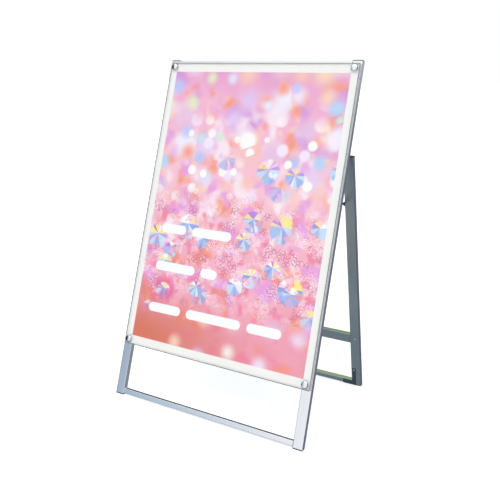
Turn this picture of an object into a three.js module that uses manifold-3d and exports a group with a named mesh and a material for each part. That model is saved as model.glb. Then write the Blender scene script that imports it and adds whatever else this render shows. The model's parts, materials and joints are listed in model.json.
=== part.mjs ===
// A-frame poster stand. The front frame carries an A1 poster between a white backing board and a
// clear acrylic sheet; the rear frame swings on two hinge arms and folds flat against it, held
// open by a hooked stay bar at each side.
// Millimetres, +Z up, +X across the stand, the poster faces -Y.
// Origin: the middle of the open stand's footprint, on the floor.

import * as THREE from 'three';
import { mergeVertices } from 'three/addons/utils/BufferGeometryUtils.js';
import Module from 'manifold-3d';

const wasm = await Module();
wasm.setup();

// ---------------------------------------------------------------- driving dimensions

// Poster and the two sheets that hold it
const posterWidth = 594;
const posterHeight = 841;
const posterThickness = 0.4;
const sideMargin = 24.5; // poster edge to sheet edge, left and right
const endMargin = 28; // poster edge to sheet edge, top and bottom
const sheetThickness = 2.2; // clear acrylic
const backingThickness = 1.8;
const sheetCorner = 3;

// Where the sign sits on the front frame, measured along the slope
const signInset = 3.5; // frame's outer side to sheet edge
const signDrop = 10; // top of the end caps to sheet edge
const signClearance = 159; // sole of the foot to sheet edge

// Stance
const frontLean = THREE.MathUtils.degToRad(18.7);
const rearLean = THREE.MathUtils.degToRad(9.6);

// Aluminium flat tube of the stiles, legs and rails, and square tube of the bottom rails
const tubeWidth = 30;
const tubeDepth = 15;
const tubeWall = 1.5;
const tubeCorner = 1.4;
const boreCorner = 0.5;
const barSize = 15;

// Plastic plugs in the open tube ends
const capThickness = 2.5;
const footThickness = 3;
const plugReach = 12;

// Rails
const middleRailRise = 3; // lower edge of the sign to the underside of the front middle rail
const rearMiddleRailHeight = 155; // sole to underside, along the leg
const railBelowArm = 4; // end of the hinge arm to the rear top rail
const jointInRail = 22; // reach of the block that joins a rail to its upright, inside both tubes
const frontJointInUpright = 7; // ends short of the fixing screws
const rearJointInUpright = 22;
const bottomRailFloorGap = 0.6;

// Hinge: a flat arm on each rear leg swings on a bolt in the front stile
const pivotDrop = 236; // top of the front frame to the hinge axis
const legTopDrop = 37; // hinge axis to the top of the rear leg, along the leg
const closedGap = 3; // between the frames when folded
const armThickness = 3;
const armEdge = 0.6; // arm's eye is this much smaller than the tube is deep, at each side
const armRivetPitch = 18;
const armRivetClear = 2; // end of the cap's plug to the upper rivet
const hingeBoltRadius = 3.5;
const boltHeadHeight = 3;
const boltHeadEdge = 0.8; // bolt head's rim to the tube's front and back faces

// Stay bars: each swings on a pin in the front stile and hooks over a stud on the rear leg
const stayDrop = 147; // top of the rear leg to the stud
const stayThickness = 2;
const stayWidth = 6;
const stayEyeRadius = 5.5;
const stayStandoff = 1.8; // tube wall to the bar
const pinRadius = 2.6;
const pinHeadRadius = 4.6;
const pinHeadHeight = 1.2;
const hookNose = 3; // width of the hook's nose, beyond the stud
const hookDrop = 3; // middle of the stud to the nose's round end
const hookRound = 5; // hook's outer corner

// Fixings
const fixingInsetSide = 16; // sheet edge to fixing centre
const fixingInsetEnd = 14.5;
const coverRadius = 10.5;
const coverHeight = 6;
const coverWall = 1;
const coverShoulder = 2.2;
const coverCrown = 0.8; // rise of the slightly domed face
const screwRadius = 2;
const screwHeadRadius = 6;
const screwHeadHeight = 2.4;
const screwReach = 5; // into the stile, from its front face
const rivetHeadHeight = 1;
const rivetHeadRadius = 3.6;
const railScrewReach = 7;
const railScrewHeadHeight = 1.6;

// Corner plates at the foot of the rear frame, and rubber bumpers between the frames
const plateThickness = 1.2;
const plateWidth = 12;
const plateHeight = 62;
const plateReach = 30; // along the bottom rail, from the leg
const plateInset = 2.5; // onto the leg, from its inner edge
const plateRivetHeadRadius = 2.8; // low and small, to clear the front stile when folded
const plateRivetHeadHeight = 0.8;
const bumperRadius = 7;
const bumperHeight = 130; // sole to centre, along the stile
const bumperSqueeze = 0.4; // bumper is this much thinner than the closed gap

// Clearances
const seatGap = 0.3; // between pieces that rest on each other
const runGap = 0.25; // round a pin in its hole, on the radius

// ---------------------------------------------------------------- worked-out sizes and places

const sheetWidth = posterWidth + 2 * sideMargin;
const sheetHeight = posterHeight + 2 * endMargin;
const frameWidth = sheetWidth + 2 * signInset;
const frontLength = signDrop + sheetHeight + signClearance;
const halfWidth = frameWidth / 2;
const innerWall = halfWidth - tubeWidth; // the tubes' inner side faces stand at this x
const tubeMiddle = halfWidth - tubeWidth / 2;
const railSpan = 2 * (innerWall - seatGap);
const jointHeight = barSize - 2 * tubeWall; // bore of the lowest rail that is joined by a block

// The front frame's own axes: x across, y back through the tube, z up the slope from the sole.
// The rear frame's own axes: the same directions along its leg, from the hinge axis.
const pivotRise = frontLength - pivotDrop;
const pivotY = pivotRise * Math.sin(frontLean) + (tubeDepth / 2) * Math.cos(frontLean);
const pivotZ = pivotRise * Math.cos(frontLean) - (tubeDepth / 2) * Math.sin(frontLean);
const legFront = tubeDepth / 2 + closedGap;
const legMiddle = legFront + tubeDepth / 2;
const legTop = -legTopDrop;
const armRadius = tubeDepth / 2 - armEdge;
const upperArmRivet = legTop - capThickness - plugReach - armRivetClear - rivetHeadRadius;
const lowerArmRivet = upperArmRivet - armRivetPitch;

// Height of a level plane above the floor, in each frame's own axes
const frontLevel = (height) => (y) => height / Math.cos(frontLean) + y * Math.tan(frontLean);
const rearLevel = (height) => (y) => (height - pivotZ) / Math.cos(rearLean) - y * Math.tan(rearLean);
const legFoot = rearLevel(0)(legFront); // front edge of the rear sole

// The stay's pin is as far below the hinge axis as its stud, to stand beside it when folded
const studDrop = stayDrop - legTop;
const studY = pivotY + legMiddle * Math.cos(rearLean) + studDrop * Math.sin(rearLean);
const studZ = pivotZ + legMiddle * Math.sin(rearLean) - studDrop * Math.cos(rearLean);
const pinY = pivotY - studDrop * Math.sin(frontLean);
const pinZ = pivotZ - studDrop * Math.cos(frontLean);
const pinRise = pivotRise - studDrop;

// Depths in front of the stiles' front face, from the frame outwards
const backingBack = seatGap;
const posterBack = backingBack + backingThickness + seatGap;
const sheetBack = posterBack + posterThickness + seatGap;
const fixingBack = sheetBack + sheetThickness + seatGap;

// Offsets inwards from the tubes' inner side faces
const insideWall = -tubeWall - seatGap;
const armFace = seatGap + armThickness;
const stayFace = stayStandoff + stayThickness;

// ---------------------------------------------------------------- materials

const finish = (color, roughness, metalness) =>
  new THREE.MeshStandardMaterial({ color, roughness, metalness });
const aluminium = finish('#c6cbd1', 0.34, 1);
const rearAluminium = finish('#7c878d', 0.42, 1);
const greyPlastic = finish('#54555d', 0.55, 0);
const blackRubber = finish('#222325', 0.8, 0);
const whiteBoard = finish('#f1f1ef', 0.6, 0);
const printedPaper = finish('#f2b3d0', 0.5, 0);
const clearAcrylic = finish('#eef3f1', 0.04, 0);
clearAcrylic.transparent = true;
clearAcrylic.opacity = 0.3;
const chrome = finish('#dde1e5', 0.06, 1);
const zincSteel = finish('#a3a8ad', 0.4, 1);
const blackSteel = finish('#2b2d2f', 0.45, 0.6);
const rivetAlloy = finish('#d4d7da', 0.3, 1);
const castAlloy = finish('#9a9ea2', 0.5, 1);

// ---------------------------------------------------------------- geometry tools

const cornerSteps = 2;
const eyeSteps = 8;
const roundSteps = 20;
const coverSteps = 32;

function toManifold(geometry) {
  const bare = geometry.clone();
  bare.deleteAttribute('normal');
  bare.deleteAttribute('uv');
  const merged = mergeVertices(bare);
  return new wasm.Manifold(new wasm.Mesh({
    numProp: 3,
    vertProperties: new Float32Array(merged.attributes.position.array),
    triVerts: new Uint32Array(merged.index.array),
  }));
}

function toGeometry(manifold) {
  const mesh = manifold.getMesh();
  const geometry = new THREE.BufferGeometry();
  geometry.setAttribute('position', new THREE.BufferAttribute(mesh.vertProperties, 3));
  geometry.setIndex(new THREE.BufferAttribute(mesh.triVerts, 1));
  geometry.computeVertexNormals();
  return geometry;
}

const cut = (body, tools) =>
  toGeometry(tools.reduce((rest, tool) => rest.subtract(toManifold(tool)), toManifold(body)));
const join = (body, other) => toGeometry(toManifold(body).add(toManifold(other)));

// Rounded rectangle drawn anticlockwise into a shape or a hole, from its lower left corner
function roundedRect(path, x, y, width, height, radius) {
  const [left, right] = [x + radius, x + width - radius];
  const [low, high] = [y + radius, y + height - radius];
  path.absarc(right, low, radius, -Math.PI / 2, 0);
  path.absarc(right, high, radius, 0, Math.PI / 2);
  path.absarc(left, high, radius, Math.PI / 2, Math.PI);
  path.absarc(left, low, radius, Math.PI, 1.5 * Math.PI);
  path.closePath();
  return path;
}

function eye(shape, x, y, radius) {
  shape.holes.push(new THREE.Path().absarc(x, y, radius, 0, 2 * Math.PI));
}

const extrude = (shape, depth, curveSegments) =>
  new THREE.ExtrudeGeometry(shape, { depth, curveSegments, bevelEnabled: false });

// Bar along z with its front face at y = 0, between two ends given as heights over y
function bar(shape, lower, upper) {
  const geometry = extrude(shape, 1, cornerSteps);
  const position = geometry.attributes.position;
  for (let i = 0; i < position.count; i += 1) {
    const y = position.getY(i);
    position.setZ(i, position.getZ(i) < 0.5 ? lower(y) : upper(y));
  }
  return geometry;
}

const level = (height) => () => height;

function tubeSection(x, y, width, depth) {
  const shape = roundedRect(new THREE.Shape(), x, y, width, depth, tubeCorner);
  const [boreWidth, boreDepth] = [width - 2 * tubeWall, depth - 2 * tubeWall];
  const [boreX, boreY] = [x + tubeWall, y + tubeWall];
  shape.holes.push(roundedRect(new THREE.Path(), boreX, boreY, boreWidth, boreDepth, boreCorner));
  return shape;
}

const solidSection = (x, y, width, depth, radius) =>
  roundedRect(new THREE.Shape(), x, y, width, depth, radius);

// Turns a shape drawn in (y, z) and extruded along its own depth to run along x
const towardsX = new THREE.Matrix4().makeBasis(
  new THREE.Vector3(0, 1, 0), new THREE.Vector3(0, 0, 1), new THREE.Vector3(1, 0, 0));

function crossRail(y, z, depth, height) {
  const geometry = extrude(tubeSection(y, z, depth, height), railSpan, cornerSteps);
  return geometry.applyMatrix4(towardsX).translate(-railSpan / 2, 0, 0);
}

// Flat plate beside the inner side face of the tubes: drawn in (y, z), offset inwards from the face
function sidePlate(shape, side, offset, thickness) {
  const geometry = extrude(shape, thickness, eyeSteps).applyMatrix4(towardsX);
  const nearest = innerWall - offset;
  return geometry.translate(side > 0 ? nearest - thickness : -nearest, 0, 0);
}

// Turned piece along y, from steps of [radius, end], starting at the given place
function spindle(start, steps, segments = roundSteps) {
  const points = [new THREE.Vector2(0, start)];
  let from = start;
  for (const [radius, to] of steps) {
    points.push(new THREE.Vector2(radius, from), new THREE.Vector2(radius, to));
    from = to;
  }
  points.push(new THREE.Vector2(0, from));
  return new THREE.LatheGeometry(points, segments);
}

// Places a turned piece on a tube's inner side face, pointing inwards
const onSide = (geometry, side, y, z) =>
  geometry.rotateZ(side * Math.PI / 2).translate(side * innerWall, y, z);

// Places a turned piece on a front face at y, pointing forwards
const onFront = (geometry, x, y, z) => geometry.rotateX(Math.PI).translate(x, y, z);

const sideDrill = (side, y, z, radius) =>
  onSide(spindle(-tubeWall - 1, [[radius + runGap, 1]]), side, y, z);
const frontDrill = (x, y, z, radius, depth = tubeWall) =>
  onFront(spindle(-depth - 1, [[radius + runGap, 1]]), x, y, z);

// ---------------------------------------------------------------- assembly

const stand = new THREE.Group();
const frontFrame = new THREE.Group();
frontFrame.rotation.x = -frontLean;
const rearFrame = new THREE.Group();
rearFrame.position.set(0, pivotY, pivotZ);
rearFrame.rotation.x = rearLean;
stand.add(frontFrame, rearFrame);

function add(group, name, geometry, material) {
  const mesh = new THREE.Mesh(geometry, material);
  mesh.name = name;
  group.add(mesh);
}

const sides = [['left', -1], ['right', 1]];
const armRivets = [['upper', upperArmRivet], ['lower', lowerArmRivet]];
const ends = [
  ['top', frontLength - signDrop - fixingInsetEnd],
  ['bottom', signClearance + fixingInsetEnd],
];
const fixingX = halfWidth - signInset - fixingInsetSide;

// Left edge of the tube at a side
const tubeLeft = (side) => side * tubeMiddle - tubeWidth / 2;

// Plug that closes a tube end: a plate as wide as the tube and a stem inside it
function plug(side, front, lower, upper, stemLower, stemUpper) {
  const play = tubeWall + seatGap;
  const plate = bar(solidSection(tubeLeft(side), front, tubeWidth, tubeDepth, tubeCorner), lower, upper);
  const stem = solidSection(
    tubeLeft(side) + play, front + play, tubeWidth - 2 * play, tubeDepth - 2 * play, boreCorner);
  return join(plate, bar(stem, stemLower, stemUpper));
}

// Block inside the end of a rail that passes through the upright's inner wall
function jointBlock(side, front, z, reach, play) {
  const depth = tubeDepth - 2 * tubeWall - 2 * play;
  const height = jointHeight - 2 * play;
  const block = new THREE.BoxGeometry(jointInRail + reach, depth, height);
  const middle = innerWall + (reach - jointInRail) / 2;
  return block.translate(side * middle, front + tubeDepth / 2, z + jointHeight / 2);
}

function addFrontFrame() {
  const tubeTop = frontLength - capThickness;
  const tubeEnd = frontLevel(footThickness + seatGap);
  const middleRail = signClearance + middleRailRise;
  const topJointMiddle = tubeTop - (tubeWidth - tubeWall + plugReach) / 2; // clear of the cap's plug
  const joints = [
    ['top', topJointMiddle - jointHeight / 2],
    ['middle', middleRail + (tubeWidth - jointHeight) / 2],
  ];
  for (const [name, side] of sides) {
    for (const [place, z] of joints) {
      const block = jointBlock(side, 0, z, frontJointInUpright, seatGap);
      add(frontFrame, `front_${place}_joint_${name}`, block, castAlloy);
    }
    const drills = ends.map(([, z]) => frontDrill(side * fixingX, 0, z, screwRadius));
    drills.push(sideDrill(side, tubeDepth / 2, pivotRise, hingeBoltRadius));
    drills.push(sideDrill(side, tubeDepth / 2, pinRise, pinRadius));
    drills.push(...joints.map(([, z]) => jointBlock(side, 0, z, frontJointInUpright, 0)));
    const tube = bar(tubeSection(tubeLeft(side), 0, tubeWidth, tubeDepth), tubeEnd, level(tubeTop));
    add(frontFrame, `front_stile_${name}`, cut(tube, drills), aluminium);

    const cap = plug(side, 0, level(tubeTop + seatGap), level(frontLength),
      level(tubeTop - plugReach), level(frontLength - capThickness / 2));
    add(frontFrame, `front_cap_${name}`, cap, greyPlastic);
    const foot = plug(side, 0, frontLevel(0), frontLevel(footThickness),
      frontLevel(footThickness / 2), frontLevel(footThickness + plugReach));
    add(frontFrame, `front_foot_${name}`, foot, greyPlastic);

    const bumper = spindle(seatGap, [[bumperRadius, closedGap - bumperSqueeze]]);
    bumper.translate(side * tubeMiddle, tubeDepth, bumperHeight);
    add(frontFrame, `bumper_${name}`, bumper, blackRubber);
  }
  const bottomRail = frontLevel(bottomRailFloorGap)(barSize);
  add(frontFrame, 'front_top_rail', crossRail(0, tubeTop - tubeWidth, tubeDepth, tubeWidth), aluminium);
  add(frontFrame, 'front_middle_rail', crossRail(0, middleRail, tubeDepth, tubeWidth), aluminium);
  add(frontFrame, 'front_bottom_rail', crossRail(0, bottomRail, barSize, barSize), aluminium);
}

// Sheet across the front, drawn in (x, z), with its back face a given depth in front of the frame
function frontSheet(shape, back, thickness) {
  return extrude(shape, thickness, eyeSteps / 2).rotateX(Math.PI / 2).translate(0, -back, 0);
}

function addSign() {
  const sheetShape = () => {
    const shape = new THREE.Shape();
    roundedRect(shape, -sheetWidth / 2, signClearance, sheetWidth, sheetHeight, sheetCorner);
    for (const [, side] of sides) {
      for (const [, z] of ends) eye(shape, side * fixingX, z, screwRadius + runGap);
    }
    return shape;
  };
  const posterLow = signClearance + endMargin;
  const posterCorner = 0.5;
  const posterShape = solidSection(-posterWidth / 2, posterLow, posterWidth, posterHeight, posterCorner);
  add(frontFrame, 'backing_board', frontSheet(sheetShape(), backingBack, backingThickness), whiteBoard);
  add(frontFrame, 'poster', frontSheet(posterShape, posterBack, posterThickness), printedPaper);
  add(frontFrame, 'acrylic_sheet', frontSheet(sheetShape(), sheetBack, sheetThickness), clearAcrylic);
}

// Hollow chrome cover: a cup with a rounded shoulder and a slightly domed face
function coverGeometry() {
  const shoulderSteps = 4;
  const innerChamfer = 1;
  const inner = coverRadius - coverWall;
  const rim = coverHeight - coverCrown;
  const ceiling = rim - coverWall;
  const flat = coverRadius - coverShoulder;
  const points = [new THREE.Vector2(inner, 0), new THREE.Vector2(coverRadius, 0)];
  for (let i = 0; i <= shoulderSteps; i += 1) {
    const turn = (i / shoulderSteps) * Math.PI / 2;
    const drop = coverShoulder * (1 - Math.sin(turn));
    points.push(new THREE.Vector2(flat + coverShoulder * Math.cos(turn), rim - drop));
  }
  points.push(new THREE.Vector2(flat / 2, coverHeight - coverCrown / 4));
  points.push(new THREE.Vector2(0, coverHeight), new THREE.Vector2(0, ceiling));
  points.push(new THREE.Vector2(inner - innerChamfer, ceiling));
  points.push(new THREE.Vector2(inner, ceiling - innerChamfer), new THREE.Vector2(inner, 0));
  return new THREE.LatheGeometry(points, coverSteps);
}

function addFixings() {
  const screwSteps = [[screwRadius, 0], [screwHeadRadius, screwHeadHeight]];
  for (const [end, z] of ends) {
    for (const [name, side] of sides) {
      const screw = spindle(-fixingBack - screwReach, screwSteps);
      const placed = onFront(screw, side * fixingX, -fixingBack, z);
      add(frontFrame, `fixing_screw_${end}_${name}`, placed, zincSteel);
      const cover = onFront(coverGeometry(), side * fixingX, -fixingBack, z);
      add(frontFrame, `chrome_cover_${end}_${name}`, cover, chrome);
    }
  }
}

function addRearFrame() {
  const tubeTop = legTop - capThickness;
  const tubeEnd = rearLevel(footThickness + seatGap);
  const railMiddle = legFoot + rearMiddleRailHeight + tubeWidth / 2;
  const plateRivet = legFoot + plateHeight - plateWidth / 2;
  const plateMiddle = innerWall + plateInset + plateWidth / 2;
  const topRail = lowerArmRivet - armRadius - railBelowArm - barSize;
  const joints = [
    ['top', topRail + (barSize - jointHeight) / 2],
    ['middle', railMiddle - jointHeight / 2],
  ];
  for (const [name, side] of sides) {
    const screwHole = frontDrill(side * tubeMiddle, legFront, railMiddle, screwRadius, tubeDepth);
    for (const [place, z] of joints) {
      const block = jointBlock(side, legFront, z, rearJointInUpright, seatGap);
      add(rearFrame, `rear_${place}_joint_${name}`, cut(block, [screwHole]), castAlloy);
    }
    const drills = armRivets.map(([, z]) => sideDrill(side, legMiddle, z, screwRadius));
    drills.push(sideDrill(side, legMiddle, -studDrop, pinRadius));
    drills.push(frontDrill(side * tubeMiddle, legFront, railMiddle, screwRadius));
    drills.push(...joints.map(([, z]) => jointBlock(side, legFront, z, rearJointInUpright, 0)));
    drills.push(frontDrill(side * plateMiddle, legFront, plateRivet, screwRadius));
    const section = tubeSection(tubeLeft(side), legFront, tubeWidth, tubeDepth);
    add(rearFrame, `rear_leg_${name}`, cut(bar(section, tubeEnd, level(tubeTop)), drills), rearAluminium);

    const cap = plug(side, legFront, level(tubeTop + seatGap), level(legTop),
      level(tubeTop - plugReach), level(legTop - capThickness / 2));
    add(rearFrame, `rear_cap_${name}`, cap, greyPlastic);
    const foot = plug(side, legFront, rearLevel(0), rearLevel(footThickness),
      rearLevel(footThickness / 2), rearLevel(footThickness + plugReach));
    add(rearFrame, `rear_foot_${name}`, foot, greyPlastic);

    addHingeArm(name, side);

    const railScrew = spindle(-railScrewReach,
      [[screwRadius, seatGap], [rivetHeadRadius, seatGap + railScrewHeadHeight]]);
    const placed = onFront(railScrew, side * tubeMiddle, legFront, railMiddle);
    add(rearFrame, `rail_screw_${name}`, placed, rivetAlloy);
    addCornerPlate(name, side, plateMiddle, plateRivet);
  }
  const middleRail = legFoot + rearMiddleRailHeight;
  const bottomRail = rearLevel(bottomRailFloorGap)(legFront);
  add(rearFrame, 'rear_top_rail', crossRail(legFront, topRail, tubeDepth, barSize), rearAluminium);
  add(rearFrame, 'rear_middle_rail', crossRail(legFront, middleRail, tubeDepth, tubeWidth), rearAluminium);
  add(rearFrame, 'rear_bottom_rail', crossRail(legFront, bottomRail, barSize, barSize), rearAluminium);
}

// Cranked flat arm from the hinge axis to the middle of the rear leg, with its rivets and bolt
function addHingeArm(name, side) {
  const crank = Math.atan2(upperArmRivet, legMiddle); // direction from the bolt to the upper rivet
  const shape = new THREE.Shape();
  shape.absarc(legMiddle, lowerArmRivet, armRadius, -Math.PI, 0);
  shape.absarc(legMiddle, upperArmRivet, armRadius, 0, crank + Math.PI / 2);
  shape.absarc(0, 0, armRadius, crank + Math.PI / 2, crank + 1.5 * Math.PI);
  shape.closePath();
  eye(shape, 0, 0, hingeBoltRadius + runGap);
  for (const [, z] of armRivets) eye(shape, legMiddle, z, screwRadius + runGap);
  add(rearFrame, `hinge_arm_${name}`, sidePlate(shape, side, seatGap, armThickness), zincSteel);

  const head = armFace + seatGap;
  for (const [place, z] of armRivets) {
    const rivet = spindle(insideWall - rivetHeadHeight,
      [[rivetHeadRadius, insideWall], [screwRadius, head], [rivetHeadRadius, head + rivetHeadHeight]]);
    add(rearFrame, `arm_rivet_${place}_${name}`, onSide(rivet, side, legMiddle, z), rivetAlloy);
  }

  const nutRadius = tubeDepth / 2 - tubeWall - seatGap;
  const boltHeadRadius = tubeDepth / 2 - boltHeadEdge;
  const bolt = spindle(insideWall - boltHeadHeight,
    [[nutRadius, insideWall], [hingeBoltRadius, head], [boltHeadRadius, head + boltHeadHeight]]);
  add(frontFrame, `hinge_bolt_${name}`, onSide(bolt, side, tubeDepth / 2, pivotRise), zincSteel);
}

// L-shaped plate over the joint of the rear leg and the bottom rail
function addCornerPlate(name, side, plateMiddle, plateRivet) {
  const outer = innerWall + plateInset + plateWidth;
  const inner = innerWall - plateReach;
  const low = rearLevel(bottomRailFloorGap)(legFront);
  const shape = new THREE.Shape();
  shape.moveTo(side * outer, low);
  shape.lineTo(side * outer, legFoot + plateHeight);
  shape.lineTo(side * (outer - plateWidth), legFoot + plateHeight);
  shape.lineTo(side * (outer - plateWidth), low + barSize);
  shape.lineTo(side * inner, low + barSize);
  shape.lineTo(side * inner, low);
  shape.closePath();
  eye(shape, side * plateMiddle, plateRivet, screwRadius + runGap);
  const plate = extrude(shape, plateThickness, eyeSteps).rotateX(Math.PI / 2);
  add(rearFrame, `corner_plate_${name}`, plate.translate(0, legFront - seatGap, 0), rearAluminium);

  const head = plateThickness + 2 * seatGap;
  const rivet = spindle(insideWall - rivetHeadHeight, [
    [rivetHeadRadius, insideWall], [screwRadius, head],
    [plateRivetHeadRadius, head + plateRivetHeadHeight]]);
  const placed = onFront(rivet, side * plateMiddle, legFront, plateRivet);
  add(rearFrame, `corner_rivet_${name}`, placed, rivetAlloy);
}

// Stay bar drawn in (y, z): an eye for the pin at one end and a hook over the stud at the other.
// The hook is open below, so that lifting the bar frees it, and the bar's lower edge rises towards
// the stud, which slides forwards beneath it as the frame folds.
function stayShape() {
  const half = stayWidth / 2;
  const notch = pinRadius + runGap;
  const neck = Math.asin(half / stayEyeRadius);
  const neckY = pinY + stayEyeRadius * Math.cos(neck);
  const noseRadius = hookNose / 2;
  const tip = studY + notch + hookNose;
  const crest = studZ + notch + stayWidth;
  const shape = new THREE.Shape();
  shape.moveTo(neckY, pinZ - half);
  shape.lineTo(studY, studZ + notch);
  shape.absarc(studY, studZ, notch, Math.PI / 2, 0, true);
  shape.absarc(tip - noseRadius, studZ - hookDrop, noseRadius, Math.PI, 2 * Math.PI);
  shape.absarc(tip - hookRound, crest - hookRound, hookRound, 0, Math.PI / 2);
  shape.absarc(pinY, pinZ, stayEyeRadius, neck, 2 * Math.PI - neck);
  eye(shape, pinY, pinZ, notch);
  return shape;
}

// Pin with a head inside the tube, a collar that keeps the bar off the wall, and a head outside it
function stayPin() {
  const head = stayFace + seatGap;
  return spindle(insideWall - pinHeadHeight, [
    [pinHeadRadius, insideWall], [pinRadius, seatGap], [pinHeadRadius, stayStandoff - seatGap],
    [pinRadius, head], [pinHeadRadius, head + pinHeadHeight]]);
}

function addStays() {
  for (const [name, side] of sides) {
    const stay = sidePlate(stayShape(), side, stayStandoff, stayThickness);
    add(stand, `stay_bar_${name}`, stay, blackSteel);
    const pin = onSide(stayPin(), side, tubeDepth / 2, pinRise);
    add(frontFrame, `stay_pin_${name}`, pin, zincSteel);
    const stud = onSide(stayPin(), side, legMiddle, -studDrop);
    add(rearFrame, `stay_stud_${name}`, stud, zincSteel);
  }
}

addFrontFrame();
addSign();
addFixings();
addRearFrame();
addStays();

// Move the origin to the middle of the footprint
stand.updateMatrixWorld(true);
const extent = new THREE.Box3().setFromObject(stand, true);
stand.position.y = -(extent.min.y + extent.max.y) / 2;

export default stand;
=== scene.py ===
import json
import math

import bmesh
import bpy
from mathutils import Matrix, Vector


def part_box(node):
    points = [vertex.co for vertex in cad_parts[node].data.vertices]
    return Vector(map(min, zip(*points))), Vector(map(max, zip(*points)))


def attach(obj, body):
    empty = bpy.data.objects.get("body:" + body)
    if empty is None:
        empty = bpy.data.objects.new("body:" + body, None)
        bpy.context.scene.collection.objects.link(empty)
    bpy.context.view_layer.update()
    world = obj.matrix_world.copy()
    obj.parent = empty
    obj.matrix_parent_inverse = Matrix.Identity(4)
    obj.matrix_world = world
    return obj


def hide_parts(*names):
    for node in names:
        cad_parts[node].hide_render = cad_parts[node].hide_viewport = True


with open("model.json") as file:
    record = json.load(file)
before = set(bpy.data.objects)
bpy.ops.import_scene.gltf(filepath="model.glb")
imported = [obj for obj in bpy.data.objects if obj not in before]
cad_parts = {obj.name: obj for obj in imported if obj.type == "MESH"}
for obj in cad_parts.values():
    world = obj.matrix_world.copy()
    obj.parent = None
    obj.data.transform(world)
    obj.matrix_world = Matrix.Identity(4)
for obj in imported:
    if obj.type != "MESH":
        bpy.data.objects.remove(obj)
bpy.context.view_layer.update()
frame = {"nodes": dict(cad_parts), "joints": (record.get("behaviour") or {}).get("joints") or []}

MM = 0.001

# ---------------------------------------------------------------- places

# How far each frame leans from upright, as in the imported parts: the front one backwards as it rises
# and the rear one forwards
FRONT_LEAN = math.radians(18.7)
REAR_LEAN = math.radians(9.6)
SIDES = (("left", -1), ("right", 1))
ENDS = ("top", "bottom")

sole_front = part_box("front_foot_left")[0].y
hinge = Vector(next(j["pos_m"] for j in frame["joints"] if j["name"] == "fold"))
FRONT = Matrix.Translation((0, sole_front, 0)) @ Matrix.Rotation(-FRONT_LEAN, 4, "X")
REAR = Matrix.Translation(hinge) @ Matrix.Rotation(REAR_LEAN, 4, "X")
PLACES = {"front_frame": FRONT, "rear_frame": REAR}


def flat_box(node, place):
    """Lowest corner, highest corner and middle of a CAD node in the flat axes of its frame."""
    back = place.inverted()
    points = [back @ v.co for v in frame["nodes"][node].data.vertices]
    low = Vector(min(p[i] for p in points) for i in range(3))
    high = Vector(max(p[i] for p in points) for i in range(3))
    return low, high, (low + high) / 2


# ---------------------------------------------------------------- pieces

def finish_piece(bm, name, body, materials, replaces=()):
    """Makes a bmesh that is already in place a piece that rides on a body."""
    mesh = bpy.data.meshes.new(name)
    bm.to_mesh(mesh)
    bm.free()
    obj = bpy.data.objects.new(name, mesh)
    bpy.context.scene.collection.objects.link(obj)
    for material in materials:
        mesh.materials.append(material)
    mesh.polygons.foreach_set("use_smooth", [True] * len(mesh.polygons))
    mesh.set_sharp_from_angle(angle=math.radians(40))
    weighted = obj.modifiers.new("Even faces", "WEIGHTED_NORMAL")
    weighted.keep_sharp = True
    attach(obj, body)
    if replaces:
        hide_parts(*replaces)


def refined(node, edge, segments=3):
    """A CAD node's solid with its seams merged and its edges rounded by a radius in metres."""
    bm = bmesh.new()
    bm.from_mesh(frame["nodes"][node].data)
    bmesh.ops.remove_doubles(bm, verts=bm.verts, dist=0.01 * MM)
    bmesh.ops.dissolve_limit(bm, angle_limit=math.radians(1), verts=bm.verts, edges=bm.edges)
    sharp = [e for e in bm.edges if e.is_manifold and e.calc_face_angle() > math.radians(25)]
    bmesh.ops.bevel(bm, geom=sharp, offset=edge, segments=segments, profile=0.5,
                    affect="EDGES", material=-1, clamp_overlap=True)
    return bm


def shell(node, body, material, edge):
    """The refined CAD node as a piece of its own, in place of the node."""
    finish_piece(refined(node, edge), node + "_shell", body, [material], [node])


def turned(outline, steps=40):
    """A solid of revolution about z from (radius, height) points in metres, both ends on the axis."""
    bm = bmesh.new()
    verts = [bm.verts.new((radius, 0, height)) for radius, height in outline]
    edges = [bm.edges.new(pair) for pair in zip(verts, verts[1:])]
    bmesh.ops.spin(bm, geom=verts + edges, cent=(0, 0, 0), axis=(0, 0, 1),
                   angle=2 * math.pi, steps=steps, use_merge=True)
    bmesh.ops.remove_doubles(bm, verts=bm.verts, dist=0.001 * MM)
    bmesh.ops.recalc_face_normals(bm, faces=bm.faces)
    return bm


def arc(radius, base, rise, top_radius=0.0, steps=7):
    """Points of a quarter ellipse from (radius, base) inwards and up to (top_radius, base + rise)."""
    span = radius - top_radius
    turns = [math.pi / 2 * i / steps for i in range(steps + 1)]
    return [(top_radius + span * math.cos(t), base + rise * math.sin(t)) for t in turns]


def place_turned(node, body, material, outline, direction):
    """Stands a turned outline in a CAD node's box, with its height along a direction in flat axes."""
    place = PLACES[body]
    low, high, middle = flat_box(node, place)
    direction = Vector(direction)
    start = middle - direction * abs((high - low).dot(direction)) / 2
    bm = turned(outline)
    aim = Vector((0, 0, 1)).rotation_difference(direction).to_matrix().to_4x4()
    bm.transform(place @ Matrix.Translation(start) @ aim)
    finish_piece(bm, node + "_shell", body, [material], [node])


# ---------------------------------------------------------------- materials

def linear(code):
    """Linear colour with alpha 1 from an sRGB hex code."""
    channels = [int(code[i:i + 2], 16) / 255 for i in (1, 3, 5)]
    return [c / 12.92 if c <= 0.04045 else ((c + 0.055) / 1.055) ** 2.4 for c in channels] + [1]


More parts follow.
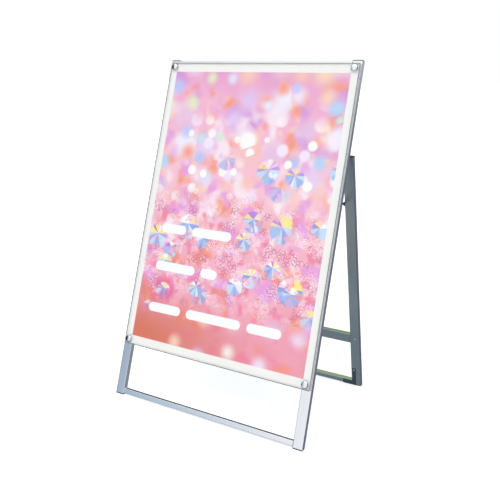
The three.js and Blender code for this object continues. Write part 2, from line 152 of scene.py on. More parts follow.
def add(tree, kind, links=None, out=0, stops=(), **settings):
    """Adds a node and returns one output; links gives each input a value or another node's output,
    and stops gives a colour ramp its (position, hex code) pairs."""
    made = tree.nodes.new("ShaderNode" + kind)
    for key, value in settings.items():
        setattr(made, key, value)
    for socket, value in (links or {}).items():
        if isinstance(value, bpy.types.NodeSocket):
            tree.links.new(value, made.inputs[socket])
        else:
            made.inputs[socket].default_value = value
    if stops:
        elements = made.color_ramp.elements
        elements.remove(elements[1])
        elements[0].position, elements[0].color = stops[0][0], linear(stops[0][1])
    for position, code in stops[1:]:
        elements.new(position).color = linear(code)
    return made.outputs[out] if made.outputs else made


def start(name):
    """A new material's node tree, empty, with the material."""
    material = bpy.data.materials.new(name)
    material.use_nodes = True
    material.node_tree.nodes.clear()
    return material, material.node_tree


def object_points(tree, scale=(1, 1, 1), turn=(0, 0, 0), shift=(0, 0, 0)):
    """Object coordinates scaled to repeats per metre, turned and moved."""
    return add(tree, "Mapping", {"Vector": add(tree, "TexCoord", out="Object"), "Location": shift,
                                 "Rotation": turn, "Scale": scale})


def surfaced(name, pattern, colours, roughness, depth=0.0, **constants):
    """A material whose colour, roughness and relief all follow one pattern from 0 to 1; pattern is
    a function that adds it to a tree. Socket names in constants have _ for each space."""
    material, tree = start(name)
    value = pattern(tree)
    dark, light = colours
    sockets = {key.replace("_", " "): number for key, number in constants.items()}
    sockets["Base Color"] = add(tree, "Mix", {0: value, 6: linear(dark), 7: linear(light)}, 2,
                                data_type="RGBA")
    sockets["Roughness"] = add(tree, "MapRange", {"Value": value, "To Min": roughness[0],
                                                  "To Max": roughness[1]})
    if depth:
        sockets["Normal"] = add(tree, "Bump", {"Height": value, "Distance": depth})
    shader = add(tree, "BsdfPrincipled", sockets)
    add(tree, "OutputMaterial", {"Surface": shader})
    return material


def grain(size, detail=4.0, distortion=0.0):
    """A pattern of soft noise with marks of the given size in metres."""
    return lambda tree: add(tree, "TexNoise", {
        "Vector": object_points(tree), "Scale": 1 / size, "Detail": detail, "Distortion": distortion})


def anodised_aluminium(name, colours, roughness, lean, along_x):
    """Extruded, etched and anodised tube: a satin metal whose fine die lines run along the length.
    The real lines are about 0.1 mm apart; they are drawn 1 mm apart, to show."""
    across, along = 1 / (1.0 * MM), 1 / (90 * MM)
    scale = (along, across, across) if along_x else (across, across, along)

    def die_lines(tree):
        flat = object_points(tree, turn=(lean, 0, 0))
        stretched = add(tree, "VectorMath", {0: flat, 1: scale}, operation="MULTIPLY")
        return add(tree, "TexNoise", {"Vector": stretched, "Scale": 1.0, "Detail": 3.0})

    return surfaced(name, die_lines, colours, roughness, 0.008 * MM, Metallic=1.0)


def moulded_plastic():
    """Injection-moulded polypropylene: dull grey with the soft grain of a spark-eroded mould, which
    is about 0.2 mm and is drawn at 0.6 mm."""
    return surfaced("moulded_polypropylene", grain(0.6 * MM, 2.0), ("#45454F", "#5C5C68"),
                    (0.42, 0.6), 0.03 * MM, IOR=1.49)


def chrome_plate():
    """Polished and chrome-plated brass: a mirror with faint haze left by the polishing wheel."""
    return surfaced("chrome_plated_brass", grain(3 * MM, 5.0), ("#D6DADF", "#F2F4F7"),
                    (0.03, 0.1), Metallic=1.0)


def zinc_plated_steel():
    """Bright zinc on pressed steel: a bluish grey metal with a soft mottle from the plating bath."""
    return surfaced("zinc_plated_steel", grain(5 * MM, 6.0), ("#8E959B", "#C3C8CC"),
                    (0.28, 0.48), 0.02 * MM, Metallic=1.0)


def blued_steel():
    """Chemically darkened steel sheet: a deep blue-grey metal, cloudy where the bath took unevenly."""
    return surfaced("blued_steel", grain(6 * MM, 5.0), ("#5C6B74", "#84939C"), (0.24, 0.4),
                    0.02 * MM, Metallic=1.0)


def black_powder_coat():
    """Powder-coated steel: near black and half gloss, with the coat's orange peel about 1 mm wide."""
    return surfaced("powder_coated_steel", grain(1 * MM, 1.0), ("#141518", "#24262A"),
                    (0.3, 0.46), 0.04 * MM, IOR=1.5)


def bright_rivet():
    """Drawn aluminium rivet: bright, with fine marks from the setting tool."""
    return surfaced("drawn_aluminium", grain(0.8 * MM, 3.0), ("#E2E5E8", "#F6F7F8"),
                    (0.1, 0.2), 0.01 * MM, Metallic=1.0)


def cast_zinc():
    """Die-cast joint block: a dull grey metal with the flow marks of the casting."""
    return surfaced("die_cast_zinc", grain(8 * MM, 6.0, 1.5), ("#787C80", "#A3A7AB"),
                    (0.42, 0.62), 0.05 * MM, Metallic=1.0)


def moulded_rubber():
    """Moulded EPDM bumper: black and matt, with a dusty bloom."""
    return surfaced("moulded_rubber", grain(4 * MM, 5.0), ("#1A1B1D", "#303235"),
                    (0.65, 0.88), 0.03 * MM, IOR=1.5)


def foamed_board():
    """Foamed PVC board: a clean white with a barely warm cast and the faint pits of its skin."""
    return surfaced("foamed_pvc", grain(2 * MM), ("#F4F3F0", "#F9F9F7"), (0.4, 0.52), 0.02 * MM,
                    IOR=1.53)


def painted_shade_board_back():
    """Painted shade on the board's back: a grey that stands for the shade on its white back, matt and
    cloudy.
    """
    return surfaced("painted_shade_board_back_grey", grain(12 * MM, 6.0), ("#A2A5A7", "#B4B7B8"), (0.7, 0.85),
                    0.03 * MM, IOR=1.5)


def screen_ink():
    """White screen ink: an opaque film, a little glossier than the paper, with the mesh's soft grain."""
    return surfaced("white_screen_ink", grain(0.7 * MM, 2.0), ("#FAFAFA", "#FFFFFF"), (0.25, 0.4),
                    0.01 * MM, IOR=1.5)


def acrylic_edge():
    """Saw-cut and flame-polished acrylic edge: it gathers the sheet's grey-green tint, darkened as
    painted shade, and keeps saw marks about 0.8 mm apart."""
    return surfaced("cast_acrylic_edge_painted_shade", grain(0.8 * MM, 1.0), ("#6F7A78", "#8E9896"), (0.12, 0.3),
                    0.02 * MM, IOR=1.49)


def clear_acrylic():
    """Cast acrylic sheet: passes nearly all the light and mirrors a little of the room, more at a
    low angle. Handling leaves faint smears that only dull the reflection."""
    material, tree = start("cast_acrylic_face")
    smears = grain(60 * MM, 4.0, 1.0)(tree)
    haze = add(tree, "MapRange", {"Value": smears, "To Min": 0.02, "To Max": 0.08})
    gloss = add(tree, "BsdfPrincipled", {"Base Color": linear("#F6F8F8"), "Roughness": haze, "IOR": 1.49})
    through = add(tree, "BsdfTransparent", {"Color": (1, 1, 1, 1)})
    mirror = add(tree, "LayerWeight", {"Blend": 0.12}, "Fresnel")
    pane = add(tree, "MixShader", {0: mirror, 1: through, 2: gloss})
    add(tree, "OutputMaterial", {"Surface": pane})
    return material


SILVER = (("#E4E6EB", "#F4F5F8"), (0.16, 0.26), FRONT_LEAN)
# The rear frame's colour is darker than the front's silver: partly a guessed grey anodise, partly painted
# shade, as it stands behind the sign out of the light
GREY_WITH_PAINTED_SHADE = (("#BEC8CB", "#D0D8DA"), (0.26, 0.4), -REAR_LEAN)
FRONT_STILE = anodised_aluminium("anodised_aluminium_stile", *SILVER, False)
FRONT_RAIL = anodised_aluminium("anodised_aluminium_rail", *SILVER, True)
REAR_STILE = anodised_aluminium("grey_anodised_with_painted_shade_leg", *GREY_WITH_PAINTED_SHADE, False)
REAR_RAIL = anodised_aluminium("grey_anodised_with_painted_shade_rail", *GREY_WITH_PAINTED_SHADE, True)
PLASTIC = moulded_plastic()
CHROME = chrome_plate()
ZINC = zinc_plated_steel()
BLUED = blued_steel()
POWDER = black_powder_coat()
RIVET = bright_rivet()
CAST = cast_zinc()
RUBBER = moulded_rubber()
BOARD = foamed_board()
BACK_SHADE_GREY = painted_shade_board_back()
PANE = clear_acrylic()
# The acrylic edge's grey-green is partly its tint and partly painted shade
PANE_EDGE_AND_SHADE = acrylic_edge()
INK = screen_ink()


# ---------------------------------------------------------------- printed poster

# Colours of the print
WHITE_LIGHTS = [(0.0, "#FFFFFF"), (0.7, "#FFF6F2"), (0.85, "#F6E9FF")]
SOFT_LIGHTS = [(0.0, "#FBEFF6"), (0.3, "#E3C6F2"), (0.5, "#F9C9C0"), (0.68, "#FBE3C4"), (0.84, "#F2F2FF")]
COLOURED_LIGHTS = [(0.0, "#FFF29A"), (0.28, "#BFE6FA"), (0.5, "#A9B4F7"), (0.66, "#FFFFFF"),
                   (0.84, "#F9A48E")]
CROWN_FACETS = [(0.0, "#FFF08C"), (0.27, "#FFFFFF"), (0.5, "#B58AE6"), (0.68, "#FBD9EC"),
                (0.84, "#FCE9B0")]
BASE_FACETS = [(0.0, "#A9C8F2"), (0.25, "#8EA9E6"), (0.42, "#C9E4FA"), (0.62, "#9FB9EC"),
               (0.78, "#B9A8EC"), (0.9, "#E9F5FF")]
GROUND_PINKS = [(0.0, "#EE9DAF"), (0.2, "#F5AFC4"), (0.42, "#F7BDD0"), (0.62, "#F9CADA"),
                (0.82, "#F6BDD8"), (1.0, "#ECABD3")]

# Lengths and heights below are millimetres on the sheet, from its lower left corner
SHEET_HEIGHT = 841.0
WANDER = 260.0  # how far the ground's colours stray up or down
FADE = 90
# soft blotches: colour, size, seed, noise level where each starts and is full, lowest and highest place
BLOTCHES = (
    ("#F7A07F", 62, 1, 0.5, 0.78, 330, 860), ("#D79CDD", 105, 2, 0.5, 0.74, 560, 1000),
    ("#FBDDB8", 56, 3, 0.54, 0.8, 420, 800), ("#FBE8F2", 80, 4, 0.48, 0.7, 250, 780),
    ("#F28FAE", 52, 5, 0.52, 0.7, -100, 480), ("#F59A8F", 85, 12, 0.5, 0.7, -100, 420),
    ("#EBA6E0", 70, 13, 0.54, 0.72, 60, 700))
# warm glows in the lower left: colour, middle, half width, half height
GLOWS = (("#DC7B62", (0, 0), 380, 170), ("#E95BA0", (88, 158), 52, 44))
# spots of light: cell, radius, softness, share shown, seed, colours, lowest and highest place
SPOTS = (
    (120, 34, 0.95, 0.85, 1, SOFT_LIGHTS, 430, 1000), (104, 28, 0.95, 0.5, 14, SOFT_LIGHTS, 560, 1000),
    (78, 18, 0.95, 0.6, 2, COLOURED_LIGHTS, 440, 1000), (84, 22, 0.32, 0.5, 3, WHITE_LIGHTS, 460, 740),
    (56, 13, 0.22, 0.5, 4, WHITE_LIGHTS, 420, 720), (95, 22, 0.95, 0.45, 5, SOFT_LIGHTS, -100, 170))
# crushed glass: cell, seed, colour of the rims; and where across a cell the rim rises and falls
CRUSHED_GLASS = ((11, 6, "#FFE9F2"), (15, 7, "#CF7FA6"), (8, 8, "#FFFFFF"))
GLASS_RIM = ((0.25, 0.36), (0.4, 0.5))
# cut stones: cell, radius, seed, lowest and highest place
STONES = ((118, 35, 9, 90, 620), (150, 33, 10, 60, 540))
STONE_SOFTNESS, STONE_SHARE = 0.1, 0.7
FACET_COUNT = 13
FACET_TIP = 0.25  # of the radius, above the stone's middle
FACET_SPIN = 6.0  # radians, the most that the wide and narrow facets are turned from stone to stone
FACET_UNEVEN = 0.45  # radians, the most that a facet's edge strays
OWN_COLOURS = 97.0  # spreads the stones' random numbers out, so that each picks its own colours


def band(tree, value, rise, fall):
    """1 between two stretches of a value, fading smoothly to 0 over each of them."""
    up = add(tree, "MapRange", {"Value": value, "From Min": rise[0], "From Max": rise[1]},
             interpolation_type="SMOOTHSTEP")
    down = add(tree, "MapRange", {"Value": value, "From Min": fall[1], "From Max": fall[0]},
               interpolation_type="SMOOTHSTEP")
    return add(tree, "Math", {0: up, 1: down}, operation="MULTIPLY")


def lay(tree, ground, colour, masks):
    """Lays a colour over the ground where every mask is up."""
    cover = masks[0]
    for mask in masks[1:]:
        cover = add(tree, "Math", {0: cover, 1: mask}, operation="MULTIPLY")
    return add(tree, "Mix", {0: cover, 6: ground, 7: colour}, 2, data_type="RGBA")


def scatter(tree, at, cell, radius, soft, share, seed):
    """Round spots, one to a cell of the given size in millimetres: returns their mask, a random
    number for each, and where each one's middle is."""
    shift = (seed * 371, seed * 193, 0)  # each seed shows a different stretch of the pattern
    moved = add(tree, "VectorMath", {0: at, 1: shift})
    near = add(tree, "TexVoronoi", {"Vector": moved, "Scale": 1 / cell, "Randomness": 0.85},
               voronoi_dimensions="2D")
    chance = add(tree, "SeparateColor", {"Color": near.node.outputs["Color"]})
    size = add(tree, "MapRange", {"Value": chance, "To Min": 0.65 * radius / cell,
                                  "To Max": 1.25 * radius / cell})
    outer = add(tree, "Math", {0: size, 1: 1 + soft}, operation="MULTIPLY")
    inner = add(tree, "Math", {0: size, 1: 1 - soft}, operation="MULTIPLY")
    disc = add(tree, "MapRange", {"Value": near, "From Min": outer, "From Max": inner},
               interpolation_type="SMOOTHSTEP")
    shown = add(tree, "Math", {0: chance.node.outputs[1], 1: share}, operation="LESS_THAN")
    middle = add(tree, "VectorMath", {0: near.node.outputs["Position"], 1: shift}, operation="SUBTRACT")
    return (add(tree, "Math", {0: disc, 1: shown}, operation="MULTIPLY"),
            chance.node.outputs[2], middle)


def facets(tree, at, middle, chance, count, tip):
    """A cut stone's facets: uneven wedges that meet at a tip above its middle, bright ones above the
    tip and blue ones below it. Lengths are millimetres."""
    arm = add(tree, "VectorMath", {0: at, 1: middle}, operation="SUBTRACT")
    parts = add(tree, "SeparateXYZ", {0: arm})
    lifted = add(tree, "Math", {0: parts.node.outputs[1], 1: tip}, operation="SUBTRACT")
    angle = add(tree, "Math", {0: lifted, 1: parts}, operation="ARCTAN2")
    spun = add(tree, "Math", {0: chance, 1: FACET_SPIN, 2: angle}, operation="MULTIPLY_ADD")
    wave = add(tree, "Math", {0: spun}, operation="SINE")
    uneven = add(tree, "Math", {0: wave, 1: FACET_UNEVEN, 2: angle}, operation="MULTIPLY_ADD")
    wedge = add(tree, "Math", {0: uneven, 1: count / (2 * math.pi)}, operation="MULTIPLY")
    number = add(tree, "Math", {0: wedge}, operation="FLOOR")
    own = add(tree, "Math", {0: chance, 1: OWN_COLOURS}, operation="MULTIPLY")
    seed = add(tree, "CombineXYZ", {0: number, 1: own})
    pick = add(tree, "TexWhiteNoise", {"Vector": seed}, noise_dimensions="2D")
    crown = add(tree, "ValToRGB", {0: pick}, stops=CROWN_FACETS)
    base = add(tree, "ValToRGB", {0: pick}, stops=BASE_FACETS)
    for ramp in (crown, base):
        ramp.node.color_ramp.interpolation = "CONSTANT"
    above = add(tree, "Math", {0: lifted, 1: 0.0}, operation="GREATER_THAN")
    return lay(tree, base, crown, [above])


def printed_poster():
    """Digital print on coated paper: a pink close-up of cut glass stones, sharp across the middle
    and melting into soft spots of light above and below. Lengths are millimetres on the sheet."""
    material, tree = start("coated_paper_print")
    turn = (FRONT_LEAN - math.pi / 2, 0, 0)
    corner = Matrix.Rotation(turn[0], 4, "X") @ (FRONT @ flat_box("poster", FRONT)[0])
    at = object_points(tree, (1 / MM,) * 3, turn, -corner / MM)
    parts = add(tree, "SeparateXYZ", {0: at})
    height = parts.node.outputs[1]

    def blotches(size, seed, low, high):
        """Soft blotches of noise between two of its levels."""
        moved = add(tree, "VectorMath", {0: at, 1: (seed * 517, seed * 89, 0)})
        noise = add(tree, "TexNoise", {"Vector": moved, "Scale": 1 / size, "Detail": 1.5},
                    noise_dimensions="2D")
        return add(tree, "MapRange", {"Value": noise, "From Min": low, "From Max": high},
                   interpolation_type="SMOOTHSTEP")

    def between(low, high):
        """1 between two heights on the sheet, fading over a set distance inside each of them."""
        return band(tree, height, (low, low + FADE), (high - FADE, high))

    wander = add(tree, "TexNoise", {"Vector": at, "Scale": 1 / 160, "Detail": 2.0}, noise_dimensions="2D")
    drift = add(tree, "Math", {0: wander, 1: WANDER, 2: height}, operation="MULTIPLY_ADD")
    rise = add(tree, "MapRange", {"Value": drift, "From Min": WANDER / 2,
                                  "From Max": WANDER / 2 + SHEET_HEIGHT})
    paint = add(tree, "ValToRGB", {0: rise}, stops=GROUND_PINKS)
    for code, size, seed, faint, full, low, high in BLOTCHES:
        paint = lay(tree, paint, linear(code), [blotches(size, seed, faint, full),
                                                between(low, high)])
    for code, spot, width, tall in GLOWS:
        away = add(tree, "VectorMath", {0: at, 1: (*spot, 0)}, operation="SUBTRACT")
        reach = add(tree, "VectorMath", {0: away, 1: (1 / width, 1 / tall, 0)}, operation="MULTIPLY")
        far = add(tree, "VectorMath", {0: reach}, "Value", operation="LENGTH")
        paint = lay(tree, paint, linear(code), [
            add(tree, "MapRange", {"Value": far, "From Min": 1.2, "From Max": 0.2})])

    # big, soft spots above, coloured ones among them, then small bright ones nearer the sharp band
    for cell, radius, soft, share, seed, stops, low, high in SPOTS:
        mask, chance = scatter(tree, at, cell, radius, soft, share, seed)[:2]
        colour = add(tree, "ValToRGB", {0: chance}, stops=stops)
        paint = lay(tree, paint, colour, [mask, between(low, high)])

    # crushed glass: fine bright and dark rims in patches across the sharp band
    for cell, seed, code in CRUSHED_GLASS:
        moved = add(tree, "VectorMath", {0: at, 1: (seed * 91, 0, 0)})
        rim = add(tree, "TexVoronoi", {"Vector": moved, "Scale": 1 / cell}, voronoi_dimensions="2D")
        ring = band(tree, rim, *GLASS_RIM)
        patches = blotches(48, seed, 0.5, 0.62)
        paint = lay(tree, paint, linear(code), [ring, patches, between(90, 500)])

    # cut stones, a little hazy and with chips of the ground showing through
    chipped = add(tree, "MapRange", {"Value": blotches(26, 11, 0.36, 0.5), "To Min": 0.2, "To Max": 0.92})
    for cell, radius, seed, low, high in STONES:
        mask, chance, middle = scatter(tree, at, cell, radius, STONE_SOFTNESS, STONE_SHARE, seed)
        colour = facets(tree, at, middle, chance, FACET_COUNT, radius * FACET_TIP)
        paint = lay(tree, paint, colour, [mask, between(low, high), chipped])

    speckle = grain(0.5 * MM, 2.0)(tree)
    sheen = add(tree, "MapRange", {"Value": speckle, "To Min": 0.3, "To Max": 0.42})
    shader = add(tree, "BsdfPrincipled", {"Base Color": paint, "Roughness": sheen, "IOR": 1.5})
    add(tree, "OutputMaterial", {"Surface": shader})
    return material


POSTER = printed_poster()
poster_low = flat_box("poster", FRONT)[0]
PAPER_EDGE = 0.05 * MM
finish_piece(refined("poster", PAPER_EDGE, 1), "poster_shell", "front_frame", [POSTER],
             ["poster"])

# Rows of plain round-ended bars stand for the print's wording: how high the middle of each row is
# and its bars' lengths from the left, in millimetres
WORDING_LEFT = 45 * MM
WORDING_ROWS = ((345, (92, 140)), (228, (146, 58)), (100, (118, 190, 112)))
BAR_THICK = 28 * MM
BAR_GAP = 22 * MM
INK_FILM = 0.1 * MM
INK_GAP = 0.02 * MM  # keeps the ink's back off the poster's face


def wording_bar(name, left, height, length):
    """Flat bar of ink with round ends, printed on the poster's face."""
    bm = bmesh.new()
    bmesh.ops.create_grid(bm, x_segments=1, y_segments=1, size=0.5)
    bmesh.ops.scale(bm, verts=bm.verts, vec=(length, BAR_THICK, 1))
    # a little under half the width, so that the round corners don't quite meet
    bmesh.ops.bevel(bm, geom=bm.verts, offset=0.499 * BAR_THICK, segments=10, profile=0.5,
                    affect="VERTICES", material=-1)
    sheet = bmesh.ops.extrude_face_region(bm, geom=bm.faces)
    raised = [v for v in sheet["geom"] if isinstance(v, bmesh.types.BMVert)]
    bmesh.ops.translate(bm, verts=raised, vec=(0, 0, INK_FILM))
    bmesh.ops.recalc_face_normals(bm, faces=bm.faces)
    spot = Vector((poster_low.x + left + length / 2, poster_low.y - INK_GAP, poster_low.z + height))
    bm.transform(FRONT @ Matrix.Translation(spot) @ Matrix.Rotation(math.pi / 2, 4, "X"))
    finish_piece(bm, name, "front_frame", [INK])


for row, (height, lengths) in enumerate(WORDING_ROWS, 1):
    left = WORDING_LEFT
    for number, length in enumerate(lengths, 1):
        wording_bar(f"wording_bar_{row}_{number}", left, height * MM, length * MM)
        left += length * MM + BAR_GAP


# ---------------------------------------------------------------- front frame

# Radii of the rounded edges
TUBE_EDGE, PLUG_EDGE, PIN_EDGE = 0.35 * MM, 0.5 * MM, 0.25 * MM
ARM_EDGE, PLATE_EDGE, BAR_EDGE = 0.4 * MM, 0.3 * MM, 0.3 * MM
for name, _ in SIDES:
    shell(f"front_stile_{name}", "front_frame", FRONT_STILE, TUBE_EDGE)
    shell(f"front_cap_{name}", "front_frame", PLASTIC, PLUG_EDGE)
    shell(f"front_foot_{name}", "front_frame", PLASTIC, PLUG_EDGE)
for level in ("top", "middle", "bottom"):
    shell(f"front_{level}_rail", "front_frame", FRONT_RAIL, TUBE_EDGE)

backwards = FRONT.to_3x3() @ Vector((0, 1, 0))

# The backing board is white; its back faces take a grey that is painted shade
BOARD_EDGE = 0.2 * MM
bm = refined("backing_board", BOARD_EDGE, 2)
for face in bm.faces:
    face.material_index = 1 if face.normal.dot(backwards) > 0.9 else 0
finish_piece(bm, "backing_board_shell", "front_frame", [BOARD, BACK_SHADE_GREY], ["backing_board"])

# The acrylic sheet is clear on its two faces. Its grey-green edge colour, partly tint and partly painted
# shade, shows along the cut edge, and as a narrow painted shade line inside the rim of the front face,
# drawn wider than a real edge shows so that it can be seen
SHADE_RIM, SHEET_EDGE = 1.7 * MM, 0.5 * MM
bm = refined("acrylic_sheet", SHEET_EDGE, 1)
front_faces = [face for face in bm.faces if face.normal.dot(backwards) < -0.9]
shade_rim_faces = bmesh.ops.inset_region(bm, faces=front_faces, thickness=SHADE_RIM, use_even_offset=True,
                                   use_boundary=True)["faces"]
for face in bm.faces:
    face.material_index = 0 if abs(face.normal.dot(backwards)) > 0.9 else 1
for face in shade_rim_faces:
    face.material_index = 1
finish_piece(bm, "acrylic_sheet_shell", "front_frame", [PANE, PANE_EDGE_AND_SHADE], ["acrylic_sheet"])

# Chrome covers: a cup with a rounded shoulder and a slightly crowned face
COVER_RADIUS, COVER_HEIGHT, COVER_WALL = 10.5 * MM, 6 * MM, 1 * MM
SHOULDER, CROWN = 3.2 * MM, 0.8 * MM
face_height = COVER_HEIGHT - CROWN
inner = COVER_RADIUS - COVER_WALL
crown = [(share * (COVER_RADIUS - SHOULDER), face_height + CROWN * (1 - share ** 2))
         for share in (0.8, 0.6, 0.4, 0.2, 0.0)]
cover_outline = ([(0, face_height - COVER_WALL), (inner, face_height - COVER_WALL), (inner, 0),
                  (COVER_RADIUS, 0)]
                 + arc(COVER_RADIUS, face_height - SHOULDER, SHOULDER, COVER_RADIUS - SHOULDER, 9)
                 + crown)
for end in ENDS:
    for name, _ in SIDES:
        place_turned(f"chrome_cover_{end}_{name}", "front_frame", CHROME, cover_outline,
                     (0, -1, 0))


def headed(steps, head, rise, length):
    """Outline of a fastener: steps of (radius, end height), then a domed head up to the length."""
    outline = [(0, 0)]
    at = 0
    for radius, end in steps:
        outline += [(radius, at), (radius, end)]
        at = end
    return outline + [(head, at), (head, length - rise)] + arc(head, length - rise, rise)[1:]


def length_along(node, place, axis):
    """Length of a CAD node along one flat axis of its frame."""
    low, high = flat_box(node, place)[:2]
    return high[axis] - low[axis]


# Hinge bolts, each with a round nut inside the stile and a domed head over the arm; and the rubber
# bumpers, with a rounded rim at the back
BOLT_SHAFT, BOLT_HEAD, BOLT_HEAD_HEIGHT, BOLT_DOME = 3.5 * MM, 6.7 * MM, 3 * MM, 2.2 * MM
NUT_RADIUS, NUT_HEIGHT = 5.7 * MM, 3 * MM
BUMPER_RADIUS, BUMPER_FLAT, BUMPER_ROUND = 7 * MM, 6 * MM, 0.8 * MM

for name, side in SIDES:
    inwards = (-side, 0, 0)
    long = length_along(f"hinge_bolt_{name}", FRONT, 0)
    bolt = headed([(NUT_RADIUS, NUT_HEIGHT), (BOLT_SHAFT, long - BOLT_HEAD_HEIGHT)], BOLT_HEAD,
                  BOLT_DOME, long)
    place_turned(f"hinge_bolt_{name}", "front_frame", ZINC, bolt, inwards)
    shell(f"stay_pin_{name}", "front_frame", ZINC, PIN_EDGE)
    long = length_along(f"bumper_{name}", FRONT, 1)
    bumper = ([(0, 0), (BUMPER_RADIUS, 0)]
              + arc(BUMPER_RADIUS, long - BUMPER_ROUND, BUMPER_ROUND, BUMPER_FLAT, 4) + [(0, long)])
    place_turned(f"bumper_{name}", "front_frame", RUBBER, bumper, (0, 1, 0))

# ---------------------------------------------------------------- rear frame and stays

SHANK, HEAD = 2 * MM, 3.6 * MM  # radii of the rivets and of the top rail's screws
RIVET_HEAD_HEIGHT, RIVET_DOME = 1 * MM, 0.85 * MM
SCREW_HEAD_HEIGHT, SCREW_DOME = 1.6 * MM, 1.4 * MM
LOW_HEAD, LOW_HEAD_HEIGHT, LOW_DOME = 2.8 * MM, 0.8 * MM, 0.7 * MM  # clears the stile when folded

for name, side in SIDES:
    inwards = (-side, 0, 0)
    shell(f"rear_leg_{name}", "rear_frame", REAR_STILE, TUBE_EDGE)
    shell(f"rear_cap_{name}", "rear_frame", PLASTIC, PLUG_EDGE)
    shell(f"rear_foot_{name}", "rear_frame", PLASTIC, PLUG_EDGE)
    shell(f"hinge_arm_{name}", "rear_frame", ZINC, ARM_EDGE)
    shell(f"corner_plate_{name}", "rear_frame", BLUED, PLATE_EDGE)
    shell(f"stay_stud_{name}", "rear_frame", ZINC, PIN_EDGE)
    shell(f"stay_bar_{name}", f"stay_{name}", POWDER, BAR_EDGE)
    for level in ("upper", "lower"):
        node = f"arm_rivet_{level}_{name}"
        long = length_along(node, REAR, 0)
        rivet = headed([(HEAD, RIVET_HEAD_HEIGHT), (SHANK, long - RIVET_HEAD_HEIGHT)], HEAD,
                       RIVET_DOME, long)
        place_turned(node, "rear_frame", RIVET, rivet, inwards)
    long = length_along(f"rail_screw_{name}", REAR, 1)
    screw = headed([(SHANK, long - SCREW_HEAD_HEIGHT)], HEAD, SCREW_DOME, long)
    place_turned(f"rail_screw_{name}", "rear_frame", RIVET, screw, (0, -1, 0))
    long = length_along(f"corner_rivet_{name}", REAR, 1)
    rivet = headed([(HEAD, RIVET_HEAD_HEIGHT), (SHANK, long - LOW_HEAD_HEIGHT)], LOW_HEAD,
                   LOW_DOME, long)
    place_turned(f"corner_rivet_{name}", "rear_frame", RIVET, rivet, (0, -1, 0))
for level in ("top", "middle", "bottom"):
    shell(f"rear_{level}_rail", "rear_frame", REAR_RAIL, TUBE_EDGE)

# Hidden pieces keep their CAD solids and take a finish
for word, material in (("joint", CAST), ("fixing_screw", ZINC)):
    for node, obj in frame["nodes"].items():
        if word in node:
            obj.data.materials.clear()
            obj.data.materials.append(material)

# ---------------------------------------------------------------- stage, light and camera

# A pale floor just below the feet, 60 m wide, with light of its own that keeps shadows faint. Metal
# doesn't mirror it
FLOOR_HALF, FLOOR_DROP = 30, 0.2 * MM
floor_mesh = bpy.data.meshes.new("floor")
bm = bmesh.new()
bmesh.ops.create_grid(bm, x_segments=1, y_segments=1, size=FLOOR_HALF)
bmesh.ops.translate(bm, verts=bm.verts, vec=(0, 0, -FLOOR_DROP))
bm.to_mesh(floor_mesh)
bm.free()
floor = bpy.data.objects.new("floor", floor_mesh)
bpy.context.scene.collection.objects.link(floor)
material, tree = start("light_table")
add(tree, "OutputMaterial", {"Surface": add(tree, "BsdfPrincipled", {
    "Base Color": (0.8, 0.8, 0.8, 1), "Roughness": 0.9, "Specular IOR Level": 0.0,
    "Emission Color": (1, 1, 1, 1), "Emission Strength": 0.6})})
floor_mesh.materials.append(material)
floor.visible_glossy = False

# A bright room in front of the stand and overhead, that turns dark towards its left, through blue low
# down, and dark at the far right. It is greyer behind, with a dark flag there, and its ground is grey.
# Metal faces show light and shade from it
ROOM_LOW = [(0.0, "#1E252D"), (0.27, "#34414E"), (0.36, "#BACFE1"), (0.6, "#BACFE1"), (0.82, "#E8F0F7"),
            (0.94, "#FFFFFF")]
ROOM_HIGH = [(0.0, "#1E252D"), (0.27, "#34414E"), (0.36, "#F1F5F8"), (0.8, "#FFFFFF")]
ROOM_RIGHT = linear("#20262C")
ROOM_BACK, FLAG, FLAG_TOP = linear("#BAC0C9"), linear("#2B3131"), linear("#A9B97A")
GROUND_FRONT, GROUND_BACK, GROUND_RIGHT = linear("#828F93"), linear("#6B6D84"), linear("#8D949B")
FLAG_DIRECTION = Vector((-0.52, 0.75, 0.4)).normalized()
world = bpy.data.worlds.new("studio")
bpy.context.scene.world = world
world.use_nodes = True
tree = world.node_tree
tree.nodes.clear()
direction = add(tree, "TexCoord", out="Generated")
across, along, up = add(tree, "SeparateXYZ", {0: direction}).node.outputs
for_side = add(tree, "MapRange", {"Value": across, "From Min": -0.78, "From Max": -0.38})
low_part = add(tree, "ValToRGB", {0: for_side}, stops=ROOM_LOW)
high_part = add(tree, "ValToRGB", {0: for_side}, stops=ROOM_HIGH)
to_top = add(tree, "MapRange", {"Value": up, "From Min": 0.34, "From Max": 0.46})
colour = add(tree, "Mix", {0: to_top, 6: low_part, 7: high_part}, 2, data_type="RGBA")
to_back = add(tree, "MapRange", {"Value": along, "From Min": -0.2, "From Max": 0.3})
colour = add(tree, "Mix", {0: to_back, 6: colour, 7: ROOM_BACK}, 2, data_type="RGBA")
facing = add(tree, "VectorMath", {0: direction, 1: FLAG_DIRECTION}, "Value", operation="DOT_PRODUCT")
on_flag = add(tree, "MapRange", {"Value": facing, "From Min": 0.72, "From Max": 0.86})
flag_rise = add(tree, "MapRange", {"Value": up, "From Min": 0.6, "From Max": 0.66})
flag = add(tree, "Mix", {0: flag_rise, 6: FLAG, 7: FLAG_TOP}, 2, data_type="RGBA")
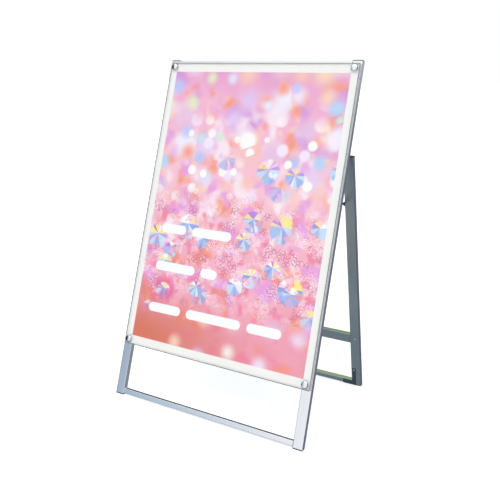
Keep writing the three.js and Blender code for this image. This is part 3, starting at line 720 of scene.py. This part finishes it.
colour = add(tree, "Mix", {0: on_flag, 6: colour, 7: flag}, 2, data_type="RGBA")
skyline = add(tree, "Mix", {0: to_back, 2: -0.2, 3: 0.02})
below = add(tree, "MapRange", {"Value": add(tree, "Math", {0: up, 1: skyline}, operation="SUBTRACT"),
                               "From Min": 0.0, "From Max": -0.12})
to_right = add(tree, "MapRange", {"Value": across, "From Min": 0.44, "From Max": 0.56})
ground = add(tree, "Mix", {0: to_right, 6: GROUND_BACK, 7: GROUND_RIGHT}, 2, data_type="RGBA")
near = add(tree, "MapRange", {"Value": along, "From Min": -0.4, "From Max": -0.6})
ground = add(tree, "Mix", {0: near, 6: ground, 7: GROUND_FRONT}, 2, data_type="RGBA")
colour = add(tree, "Mix", {0: below, 6: colour, 7: ground}, 2, data_type="RGBA")
far_right = add(tree, "MapRange", {"Value": across, "From Min": 0.7, "From Max": 0.8})
colour = add(tree, "Mix", {0: far_right, 6: colour, 7: ROOM_RIGHT}, 2, data_type="RGBA")
overhead = add(tree, "MapRange", {"Value": up, "From Min": 0.6, "From Max": 0.9, "To Min": 1.05,
                                  "To Max": 1.85})
seen = add(tree, "LightPath", out="Is Camera Ray")
room = add(tree, "Background", {"Color": colour, "Strength": overhead})
backdrop = add(tree, "Background", {"Color": (1, 1, 1, 1)})
add(tree, "OutputWorld", {"Surface": add(tree, "MixShader", {0: seen, 1: room, 2: backdrop})})

# The camera stands in front of the stand and to its right, 1 m up, and looks a little down
CAMERA_DOWN, CAMERA_TURN = math.radians(13.48), math.radians(29.79)
camera_data = bpy.data.cameras.new("camera")
camera = bpy.data.objects.new("camera", camera_data)
bpy.context.scene.collection.objects.link(camera)
bpy.context.scene.camera = camera
camera_data.sensor_width = 36
camera_data.lens = 47.22
camera_data.shift_x = -0.029
camera_data.shift_y = -0.0592
camera.location = (1.0068, -1.6071, 1.0009)
camera.rotation_euler = (math.pi / 2 - CAMERA_DOWN, 0, CAMERA_TURN)
bpy.context.scene.view_settings.view_transform = "Standard"
